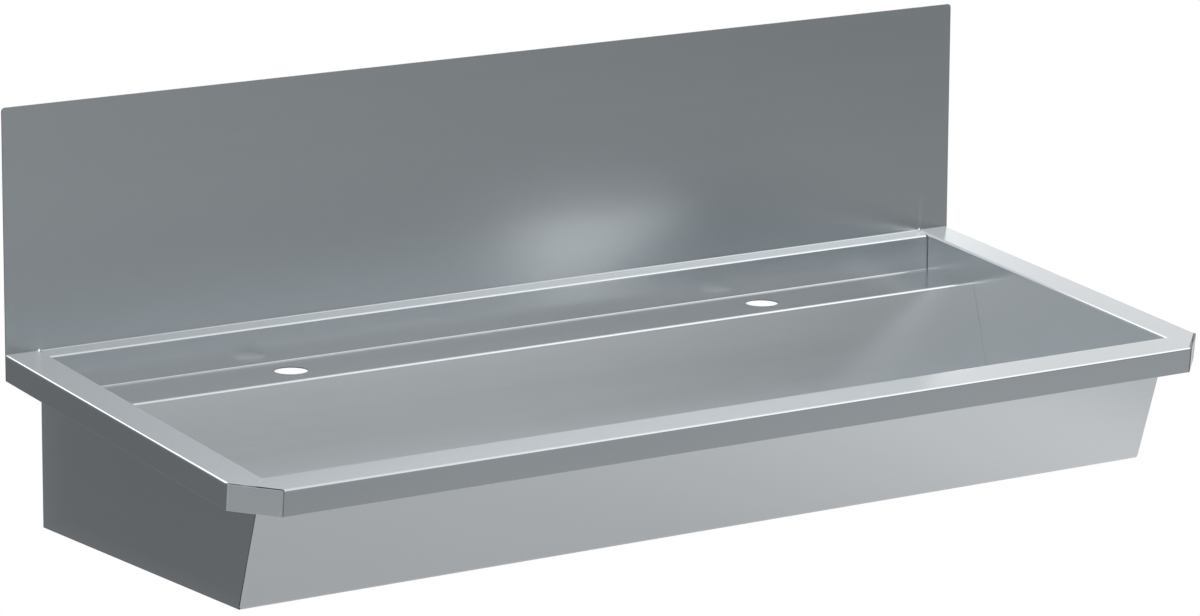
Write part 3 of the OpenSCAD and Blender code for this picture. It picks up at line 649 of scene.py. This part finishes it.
def endPanelShell():
    # A flat plate between four corners, each point a share of the way between its edges.
    fall, wallGap = trough["rimFall"], 3.0
    topBack = [-wallGap, trough["rimTop"] - rim["leg"] / math.cos(fall) - wallGap * math.tan(fall)]
    topFront = rimToTrough(legFoot)
    corners = np.array([[-wallGap, base], topBack, topFront, frontFootInside])
    table, quads = holedGrid(np.linspace(0, 1, 9), np.linspace(0, 1, 9))
    u, v = table[:, :1], table[:, 1:2]
    yz = ((1 - u) * (1 - v) * corners[0] + (1 - u) * v * corners[1]
          + u * v * corners[2] + u * (1 - v) * corners[3])
    atFront = table[:, :2].max(1) > 0.999
    return closedSheet(np.column_stack([np.full(len(yz), -insideX - sheet), yz]),
                       np.column_stack([np.full(len(yz), -insideX), yz]), quads, atFront)


endPanel = endPanelShell()
makeSheet("leftEndSheet", endPanel, "left_end_panel", along=1)
makeSheet("rightEndSheet", mirrored(endPanel), "right_end_panel", along=1)

basinFloor = {
    "level": -75.0,
    "rise": 6.0,
    "levelHalf": 60.0,
    "wasteY": -264.374,
    "holeRadius": 31.0,
    "recess": 3.0,
    "recessRadius": 48.0,
    "flatRadius": 44.0,
    "block": 54.0,  # half the side of the square that the rings fill
}


def basinFloorShell():
    # The floor rises evenly from the level stretch to both ends. The recess is a ring
    # profile round the waste: an S-shaped step made of two quarter arcs.
    p = basinFloor
    arc, block, wasteY = p["recess"] / 2, p["block"], p["wasteY"]
    rings = [(p["recessRadius"] + arc * (1 - math.sin(t)), arc * (1 - math.cos(t)))
             for t in np.linspace(0, math.pi / 2, 7)]
    rings += [(p["recessRadius"] - arc * (1 - math.cos(t)), arc * (1 + math.sin(t)))
              for t in np.linspace(0, math.pi / 2, 7)[1:]]
    rings += [(p["flatRadius"], p["recess"]), (p["holeRadius"], p["recess"])]
    blockCols = np.linspace(-block, block, 17)
    us = np.unique(np.concatenate([fullLength[np.abs(fullLength) > p["levelHalf"] + 1],
                                   [-p["levelHalf"], p["levelHalf"]], blockCols]))
    backSlope, frontSlope = (math.tan(trough[key]) for key in ("backLean", "frontLean"))
    nearWall = backFoot[0] + (p["level"] - base) * backSlope
    nearFront = frontFootInside[0] - (p["level"] - base) * frontSlope
    vs = np.unique(np.concatenate([np.linspace(nearFront, wasteY - block - 1, 5),
                                   wasteY + blockCols,
                                   np.linspace(wasteY + block + 1, nearWall, 5)]))
    table, quads = holedGrid(us, vs, [squareHole(0.0, wasteY, block, rings, us, vs)])
    x, flatY, drop = table.T
    share = (flatY - nearFront) / (nearWall - nearFront)
    rise = p["rise"] * np.clip(np.abs(x) - p["levelHalf"], 0, None) / (insideX - p["levelHalf"])
    sides = []
    for under in (0.0, sheet):
        climb = rise - under
        wall, front = nearWall + climb * backSlope, nearFront - climb * frontSlope
        y = np.where(np.hypot(x, flatY - wasteY) < block + 6, flatY,
                     front + (wall - front) * share)
        steep = np.interp(drop, [0, arc, p["recess"]], [0, 1, 0])
        shrink = 1 - steep * under / np.maximum(np.hypot(x, y - wasteY), 1)
        sides.append(np.column_stack([x * shrink, wasteY + (y - wasteY) * shrink,
                                      p["level"] + climb - drop]))
    atWalls = (share < near) | (share > 1 - near) | (np.abs(x) > insideX - 0.1)
    return closedSheet(*sides, quads, atWalls)


makeSheet("basinFloorSheet", basinFloorShell(), "basin_floor")
print("sheets made")

waste = {
    "level": -78.0,  # bottom of the recess, from which the levels below are counted
    "columns": 144,
    "flangeTop": 2.0,
    "flangeRadius": 44.0,
    "bowlRadius": 28.0,
    "bowlWall": 1.0,
    "seat": -14.0,
    "screwHole": 3.1,
    "drains": {"count": 8, "at": 18.0, "radius": 4.5, "columns": 7, "rows": 5.4},
    "strainerRadius": 27.0,
    "strainerWall": 1.2,
    "knobHole": 3.0,
    "sieve": ({"count": 12, "at": 9.2, "radius": 2.2, "columns": 6, "rows": 2.7},
              {"count": 18, "at": 15.2, "radius": 2.2, "columns": 4, "rows": 2.8}),
}


def placedAtWaste(radius, angle, z):
    x, y, z = np.broadcast_arrays(radius * np.cos(angle), radius * np.sin(angle), z)
    return np.column_stack([x, basinFloor["wasteY"] + y, waste["level"] + z])


def turnedSheet(path, radii, thickness, rings):
    # A pressed sheet turned about the waste's axis, with rings of round holes. The grid is
    # drawn as if the profile lay flat: distance from the axis is the way along the profile.
    rows = pathRows(path, radii, thickness)
    end, columns = rows["s"][-1], waste["columns"]
    flat = path[-1][0] + end - rows["s"]
    clear = np.all([np.abs(flat - ring["at"]) > ring["rows"] + 0.2 for ring in rings], axis=0)
    vs = merged(flat[clear],
                *(ring["at"] + np.linspace(-1, 1, 7) * ring["rows"] for ring in rings))
    holes = []
    for ring in rings:
        low, high = blockRound(vs, ring["at"] - ring["rows"], ring["at"] + ring["rows"])
        for k in range(ring["count"]):
            middle = k * columns // ring["count"]
            angle = 2 * math.pi * middle / columns
            holes.append({"centre": (ring["at"] * math.cos(angle), ring["at"] * math.sin(angle)),
                          "block": (middle - ring["columns"], middle + ring["columns"], low, high),
                          "rings": [(ring["radius"], 0.0)]})
    table, quads = holedGrid(2 * math.pi * np.arange(columns) / columns, vs, holes, wrap=True,
                             plane=lambda u, v: np.stack([v * np.cos(u), v * np.sin(u)], 1))
    way = end - (np.hypot(table[:, 0], table[:, 1]) - path[-1][0])
    angle = np.arctan2(table[:, 1], table[:, 0])
    face, back = (placedAtWaste(rz[:, 0], angle, rz[:, 1])
                  for rz in (rowAt(rows, side, way) for side in ("face", "back")))
    return closedSheet(face, back, quads)


def turnedSolid(profile, wave=None):
    # A closed surface of revolution. A profile that starts and ends on the axis gets a pole
    # at each end, and any other one closes on itself. wave gives a radius to add.
    columns = waste["columns"]
    angle = 2 * math.pi * np.arange(columns) / columns
    poles = abs(profile[0][0]) < 1e-6
    rows = profile[1:-1] if poles else profile[:-1]
    radius, u = np.broadcast_arrays(rows[:, :1], angle[None, :])
    z = np.broadcast_to(rows[:, 1:], radius.shape)
    if wave is not None:
        radius = radius + wave(radius, z, u)
    points = placedAtWaste(radius.ravel(), u.ravel(), z.ravel())
    number = np.arange(len(points)).reshape(radius.shape)
    ahead = np.roll(number, -1, 1)
    upper = slice(None, -1) if poles else slice(None)
    above, aboveAhead = np.roll(number, -1, 0)[upper], np.roll(ahead, -1, 0)[upper]
    quads = [np.stack([number[upper], ahead[upper], aboveAhead, above], -1).reshape(-1, 4)]
    if poles:
        for row, height, turn in ((0, profile[0][1], 1), (-1, profile[-1][1], -1)):
            pole = np.full(columns, len(points))
            points = np.vstack([points, placedAtWaste(np.zeros(1), 0.0, height)])
            quads.append(np.stack([pole, ahead[row], number[row], pole], 1)[:, ::turn])
    quads = np.concatenate(quads)
    a, b, c, d = (points[quads[:, k]] - points.mean(0) for k in range(4))
    if (a * np.cross(b - a, c - a) + a * np.cross(c - a, d - a)).sum() < 0:
        quads = quads[:, ::-1]
    nothing = np.zeros((0, 2), int)
    return {"points": points, "quads": quads, "free": nothing, "sharp": nothing,
            "bent": np.zeros(len(points)), "cut": np.zeros(len(quads))}


def wasteSheets():
    w = waste
    bowl = turnedSheet([[w["flangeRadius"], w["flangeTop"]], [w["bowlRadius"], w["flangeTop"]],
                        [w["bowlRadius"], w["seat"]], [w["screwHole"], w["seat"]]],
                       [2.0, 1.0], w["bowlWall"], [w["drains"]])
    sieve = turnedSheet([[w["strainerRadius"], w["seat"]], [w["strainerRadius"], w["flangeTop"]],
                         [w["knobHole"], w["flangeTop"]]], [2.2], w["strainerWall"], w["sieve"])
    makePiece("wasteBowl", bowl, wasteSteel, "waste_bowl")
    makePiece("strainerCup", sieve, wasteSteel, "strainer", body="strainer")


wasteSheets()

knob = {"foot": 2.0, "neck": 3.5, "neckTop": 5.0, "radius": 7.0, "top": 9.0, "waist": 0.5}


def knobShell():
    # The cap's side is drawn in by half a sine wave, as a grip for two fingers.
    k = knob
    path = [[0, k["foot"]], [k["neck"], k["foot"]], [k["neck"], k["neckTop"]],
            [k["radius"], k["neckTop"]], [k["radius"], k["top"]], [0, k["top"]]]
    profile = pathRows(path, [0.2, 0.5, 0.8, 0.9])["face"]
    side = np.linspace(k["neckTop"] + 0.9, k["top"] - 1.0, 9)
    cut = np.searchsorted(-(np.abs(profile[:, 0] - k["radius"]) < 1e-6).astype(float), -0.5)
    profile = np.insert(profile, cut + 2, np.stack([np.full(9, k["radius"]), side], 1), axis=0)
    high = (profile[:, 1] - k["neckTop"]) / (k["top"] - k["neckTop"])
    onSide = profile[:, 0] > k["radius"] - 1e-6
    profile[:, 0] -= np.where(onSide, k["waist"] * np.sin(math.pi * np.clip(high, 0, 1)) ** 2, 0)
    return turnedSolid(profile)


makePiece("strainerKnob", knobShell(), wasteSteel, "strainer_knob", body="strainer")

tail = {
    "bore": 20.5,
    "radius": 23.9,
    "end": -42.7,
    "cupFoot": -21.7,
    "cupFloor": -19.2,
    "cupOutside": 33.5,
    "cupInside": 31.0,
    "flangeFoot": -6.2,
    "flangeTop": -3.2,
    "flangeRadius": 44.0,
    "pitch": 2.31,
    "threadDepth": 1.2,
    "threadTop": -25.0,
    "fade": 1.5,
    "edge": 0.6,  # moulded edges
    "bossRadius": 6.0,
    "bossTop": -20.2,
    "bossFoot": -29.2,
    "armHalf": 2.0,
    "armTop": -21.7,
    "armFoot": -27.7,
    "armEnd": 21.2,
}


def wasteBodyShell():
    # The thread is a triangle wave of the height over the pitch less the turn, cut into the
    # tail and faded out at both ends. Boss and arms are closed shells of their own, and a
    # profile begins and ends halfway up its bore.
    t, edge, screwHole = tail, tail["edge"], waste["screwHole"]
    path = [[t["bore"], -30], [t["bore"], t["end"]], [t["radius"], t["end"]],
            [t["radius"], t["cupFoot"]], [t["cupOutside"], t["cupFoot"]],
            [t["cupOutside"], t["flangeFoot"]], [t["flangeRadius"], t["flangeFoot"]],
            [t["flangeRadius"], t["flangeTop"]], [t["cupInside"], t["flangeTop"]],
            [t["cupInside"], t["cupFloor"]], [t["bore"], t["cupFloor"]], [t["bore"], -30]]
    profile = pathRows(path, [edge, edge, 1.0, 2.0, 1.5, edge, edge, edge, 1.5, edge])["face"]
    threaded = np.arange(t["end"] + 0.9, t["threadTop"], t["pitch"] / 10)
    start = np.nonzero((np.abs(profile[:, 0] - t["radius"]) < 1e-6)
                       & (profile[:, 1] < t["threadTop"]))[0]
    profile = np.vstack([profile[:start[0] + 1],
                         np.stack([np.full(len(threaded), t["radius"]), threaded], 1),
                         profile[start[-1] + 1:]])

    def thread(radius, z, u):
        phase = (z / t["pitch"] - u / (2 * math.pi)) % 1
        groove = 1 - np.abs(2 * phase - 1)
        fade = np.clip(np.minimum(z - t["end"] - edge, t["threadTop"] - z) / t["fade"], 0, 1)
        return np.where(np.abs(radius - t["radius"]) < 1e-6, -t["threadDepth"] * groove * fade, 0)

    bossPath = [[screwHole, -25], [screwHole, t["bossFoot"]], [t["bossRadius"], t["bossFoot"]],
                [t["bossRadius"], t["bossTop"]], [screwHole, t["bossTop"]], [screwHole, -25]]
    shells = [turnedSolid(profile, wave=thread),
              turnedSolid(pathRows(bossPath, [0.4] * 4)["face"])]
    table, quads = holedGrid(np.linspace(t["bossRadius"] - 0.5, t["armEnd"], 5),
                             np.array([-1.0, 0.0, 1.0]))
    for turn in (math.pi / 2, math.pi * 7 / 6, math.pi * 11 / 6):
        along, across = table[:, 0], table[:, 1] * t["armHalf"]
        radius, angle = np.hypot(along, across), turn + np.arctan2(across, along)
        shells.append(closedSheet(placedAtWaste(radius, angle, t["armTop"]),
                                  placedAtWaste(radius, angle, t["armFoot"]), quads))
    return joined(shells)


makePiece("wasteBodyCasting", wasteBodyShell(), wastePlastic, "waste_body")

soundPad = {"thickness": 3.0, "pitch": 9.0, "depth": 0.5, "corner": 6.0, "border": 4.0}


def soundPadShell(node):
    # The top lies under the sloping floor. The underside is pressed with a net of shallow
    # diamonds: the product of two slanting cosine waves, faded out at the pad's border.
    p, low, high = soundPad, *(np.array(corner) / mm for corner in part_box(node))
    table, quads = holedGrid(np.linspace(0, 1, 97), np.linspace(0, 1, 65))
    size, middle = (high - low)[:2], (high + low)[:2] / 2
    square = (table[:, :2] * 2 - 1) * size / 2
    inside = np.clip(np.abs(square) - (size / 2 - p["corner"]), 0, None)
    bow = np.linalg.norm(inside, axis=1) / np.maximum(inside.max(1), 1e-9)
    pull = np.where(inside.max(1) > 0, 1 / np.maximum(bow, 1), 1)
    xy = middle + np.sign(square) * (np.abs(square) - inside * (1 - pull[:, None]))
    waves = (np.cos(2 * math.pi * (xy[:, 0] + xy[:, 1]) / p["pitch"])
             * np.cos(2 * math.pi * (xy[:, 0] - xy[:, 1]) / p["pitch"]))
    border = np.clip((size / 2 - np.abs(square)).min(1) / p["border"], 0, 1)
    f = basinFloor
    top = (f["level"] - sheet
           + f["rise"] * (np.abs(xy[:, 0]) - f["levelHalf"]) / (insideX - f["levelHalf"]))
    under = top - p["thickness"] + p["depth"] * border * (0.5 + 0.5 * waves)
    return closedSheet(np.column_stack([xy, top]), np.column_stack([xy, under]), quads)


for side in ("left", "right"):
    padNode = side + "_sound_pad"
    makePiece(side + "SoundPad", soundPadShell(padNode), padBitumen, padNode)

for material, names in (
        (plainPlate, ("left_tap_plate", "right_tap_plate", "left_stiffener", "right_stiffener",
                      "left_bracket", "right_bracket", "earth_tag")),
        (zincSteel, ("bracket_studs", "bracket_washers", "bracket_nuts", "waste_screw",
                     "earth_screw", "earth_nut")),
        (gasketRubber, ("upper_gasket", "lower_gasket"))):
    for name in names:
        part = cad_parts[name]
        part.data.materials.clear()
        part.data.materials.append(material)
        # Deburred edges: the loose triangles are welded first, so that edges can be found.
        part.modifiers.new("weldedFaces", "WELD").merge_threshold = 0.01 * mm
        bevel = part.modifiers.new("deburredEdges", "BEVEL")
        bevel.limit_method, bevel.angle_limit = "ANGLE", math.radians(40)
        bevel.width, bevel.segments = 0.2 * mm, 2
print("small parts finished")

studio = {
    "floorLevel": -0.81,
    "floorCentre": (-0.45, -0.35),
    "floorReach": (2.1, 1.2),  # along X and along Y
    "floorColumns": 96,
    "floorPaint": (0.66, 0.66, 0.66, 1),
    "fadeStart": 0.60,  # share of the reach at which the paint begins to turn white
    "worldLevel": 0.65,  # light on matt things; the background itself is white
    "worldTint": (0.96, 0.98, 1.0, 1),
    "tentShade": (0.95, 1.0, 1.04),  # tint of the tent's dark areas
}


def backdropRays(tree):
    # 1 for the rays that show the background: seen at once, in the steel or through glass.
    rays = addNode(tree, "LightPath").outputs
    return maths(tree, "MAXIMUM", rays["Is Camera Ray"],
                 maths(tree, "MAXIMUM", rays["Is Glossy Ray"], rays["Is Transmission Ray"]))


def mixedShaders(tree, factor, first, second, output):
    mix = addNode(tree, "MixShader", {"Fac": factor, 1: first.outputs[0], 2: second.outputs[0]})
    filled(tree, output, {"Surface": mix.outputs["Shader"]})


def gridMesh(name, points, material, isRing=False):
    # points holds rows of places. In a ring each row closes on itself, and the first one
    # gets a face of its own.
    number = np.arange(points[..., 0].size).reshape(points.shape[:2])
    ahead = np.roll(number, -1, 1)
    cols = slice(None) if isRing else slice(None, -1)
    quads = np.stack([number[:-1, cols], number[1:, cols], ahead[1:, cols], ahead[:-1, cols]], -1)
    faces = quads.reshape(-1, 4).tolist() + ([number[0].tolist()] if isRing else [])
    mesh = bpy.data.meshes.new(name)
    mesh.from_pydata(points.reshape(-1, 3).tolist(), [], faces)
    mesh.materials.append(material)
    return mesh


def emptyTree(owner):
    owner.use_nodes = True
    owner.node_tree.nodes.clear()
    return owner.node_tree


def floorDisc():
    # Rings of points: a share of the reach times the cosine and the sine of the turn.
    angle = np.linspace(0, 2 * math.pi, studio["floorColumns"], endpoint=False)
    (middleX, middleY), (reachX, reachY) = studio["floorCentre"], studio["floorReach"]
    x, y = (np.outer([0.01, 0.4, 0.7, 1.0], wave(angle)) for wave in (np.cos, np.sin))
    points = np.stack([middleX + reachX * x, middleY + reachY * y,
                       np.full(x.shape, studio["floorLevel"])], -1)
    material, tree, shader = nodeMaterial("paleFloorPaint")
    filled(tree, shader, {"Base Color": studio["floorPaint"], "Roughness": 0.9})
    coords = addNode(tree, "TexCoord").outputs["Object"]
    flat = addNode(tree, "Mapping", {"Vector": coords, "Scale": (1 / reachX, 1 / reachY, 0),
                                     "Location": (-middleX / reachX, -middleY / reachY, 0)})
    share = addNode(tree, "VectorMath", {0: flat.outputs[0]}, operation="LENGTH").outputs["Value"]
    fade = mapped(tree, share, 0.0, 1.0, studio["fadeStart"], 1.0)
    fade = maths(tree, "MULTIPLY", fade, fade)
    mixedShaders(tree, maths(tree, "MULTIPLY", fade, backdropRays(tree)), shader,
                 addNode(tree, "Emission", {"Strength": 1.0}), tree.nodes["Material Output"])
    placed("paleFloor", gridMesh("paleFloor", points, material, isRing=True))


floorDisc()

lightTent = {
    "radius": 3.5,
    "centre": (0, -0.25, 0.05),
    # Tones by direction: azimuth from +X towards +Y, so -90 is straight in front of the
    # trough; height in degrees above the horizon. One row for each height.
    "azimuths": (-180, -145, -110, -72, -54, -42, -26, 10, 43, 50, 66, 85, 105, 130, 180),
    "heights": (-36, -22, -12, 0, 13, 18, 24, 33, 42, 75),
    "tones": (
        (.50, .50, .50, .42, .52, .62, .75, .80, .80, .80, .80, .60, .40, .25, .50),
        (.40, .41, .41, .30, .41, .50, .54, .60, .70, .70, .60, .40, .30, .18, .40),
        (.38, .40, .38, .38, .34, .32, .31, .45, .70, .90, .80, .35, .25, .17, .38),
        (.38, .40, .40, .31, .25, .23, .26, .45, 1.2, 2.4, 1.6, .40, .28, .18, .38),
        (.50, .60, .60, .33, .30, .30, .36, .60, 1.3, 3.0, 2.4, .60, .35, .20, .45),
        (.60, .80, .75, .48, .62, .60, .70, .75, .92, 1.6, 1.6, .80, .60, .25, .50),
        (.80, 1.1, 1.1, .66, 1.60, 1.60, 1.55, 1.0, .86, 1.0, 1.3, 1.2, 1.6, .50, .60),
        (1.0, 1.8, 2.0, .85, .85, 1.10, 1.45, 1.00, .95, 1.0, 1.0, 1.6, 3.2, 1.2, .80),
        (.90, 1.3, 1.4, .88, .95, 1.45, 1.70, 1.00, .90, .90, 1.0, 1.4, 2.2, 1.2, .80),
        (.70,) * 15,
    ),
}


def hangTent():
    # A cloth cylinder bent in to a dome round the object: every point lies the radius away
    # in its direction, and its tone is read from the table between the nearest entries.
    p = lightTent
    azimuths = np.linspace(-180, 180, 121)
    heights = np.linspace(p["heights"][0], p["heights"][-1], 56)
    byHeight = np.stack([np.interp(heights, p["heights"], column)
                         for column in np.array(p["tones"]).T])
    tones = np.stack([np.interp(azimuths, p["azimuths"], row) for row in byHeight.T], 1)
    a, e = np.radians(azimuths)[:, None], np.radians(heights)[None, :]
    ways = np.broadcast_arrays(np.cos(a) * np.cos(e), np.sin(a) * np.cos(e), np.sin(e))
    points = np.stack(ways, -1) * p["radius"] + np.array(p["centre"])
    material = bpy.data.materials.new("tentCloth")
    tree = emptyTree(material)
    tone = addNode(tree, "Attribute", attribute_name="tone").outputs["Fac"]
    tint = colourBetween(tree, mapped(tree, tone, 0, 1, 0.2, 1.0), studio["tentShade"], (1, 1, 1))
    glow = addNode(tree, "Emission", {"Strength": tone, "Color": tint})
    addNode(tree, "OutputMaterial", {"Surface": glow.outputs["Emission"]})
    tent = placed("lightTent", gridMesh("lightTent", points, material))
    writeAttribute(tent.data, "tone", "FLOAT", "POINT", tones.ravel())
    for rays in ("camera", "diffuse", "shadow", "transmission", "volume_scatter"):
        setattr(tent, "visible_" + rays, False)


hangTent()


def whiteWorld():
    world = bpy.data.worlds.new("studioWorld")
    bpy.context.scene.world = world
    tree = emptyTree(world)
    soft = addNode(tree, "Background", {"Color": studio["worldTint"],
                                        "Strength": studio["worldLevel"]})
    white = addNode(tree, "Background", {"Color": (1, 1, 1, 1), "Strength": 1.0})
    mixedShaders(tree, backdropRays(tree), soft, white, addNode(tree, "OutputWorld"))


whiteWorld()


def setLooking(thing, place, right, up, forward):
    # Each thing looks along its own -Z, with its +X to the right.
    rows = [[right[i], up[i], -forward[i], place[i]] for i in range(3)]
    thing.matrix_world = Matrix(rows + [[0, 0, 0, 1]])


def softLamp(name, place, aim, size, power):
    light = bpy.data.lights.new(name, "AREA")
    light.shape = "RECTANGLE"
    light.size, light.size_y = size
    light.energy = power
    lamp = placed(name, light)
    way = unitOf(np.subtract(aim, place))
    side = unitOf(np.cross(way, [0, 0, 1]))
    setLooking(lamp, place, side, np.cross(side, way), way)
    lamp.visible_glossy = False  # in the steel the tent stands for the lamps


softLamp("lampAbove", (0.9, -0.9, 2.4), (0, -0.2, 0), (2.2, 1.6), 22)
softLamp("lampBehindRight", (2.0, 1.6, 1.6), (0, -0.2, 0.1), (1.8, 1.4), 12)

photoCamera = {
    "azimuth": math.radians(34.775),  # the way it looks, from +Y towards +X
    "tilt": math.radians(12.223),
    "roll": math.radians(0.3105),
    "distance": 5.925,
    "aim": (-0.00248, -0.18760, 0.10004),
    "lens": 171.415,
    "sensor": 36.0,
}


def placeCamera():
    p = photoCamera
    a, t, r = p["azimuth"], p["tilt"], p["roll"]
    forward = np.array([math.sin(a) * math.cos(t), math.cos(a) * math.cos(t), -math.sin(t)])
    flatRight = np.array([math.cos(a), -math.sin(a), 0.0])
    flatUp = np.cross(flatRight, forward)
    right = flatRight * math.cos(r) + flatUp * math.sin(r)
    up = flatUp * math.cos(r) - flatRight * math.sin(r)
    data = bpy.data.cameras.new("photoCamera")
    data.lens, data.sensor_width = p["lens"], p["sensor"]
    data.clip_end = 100.0
    camera = placed("photoCamera", data)
    setLooking(camera, np.array(p["aim"]) - forward * p["distance"], right, up, forward)
    bpy.context.scene.camera = camera


placeCamera()
bpy.context.scene.view_settings.view_transform = "Standard"

print("scene ready")
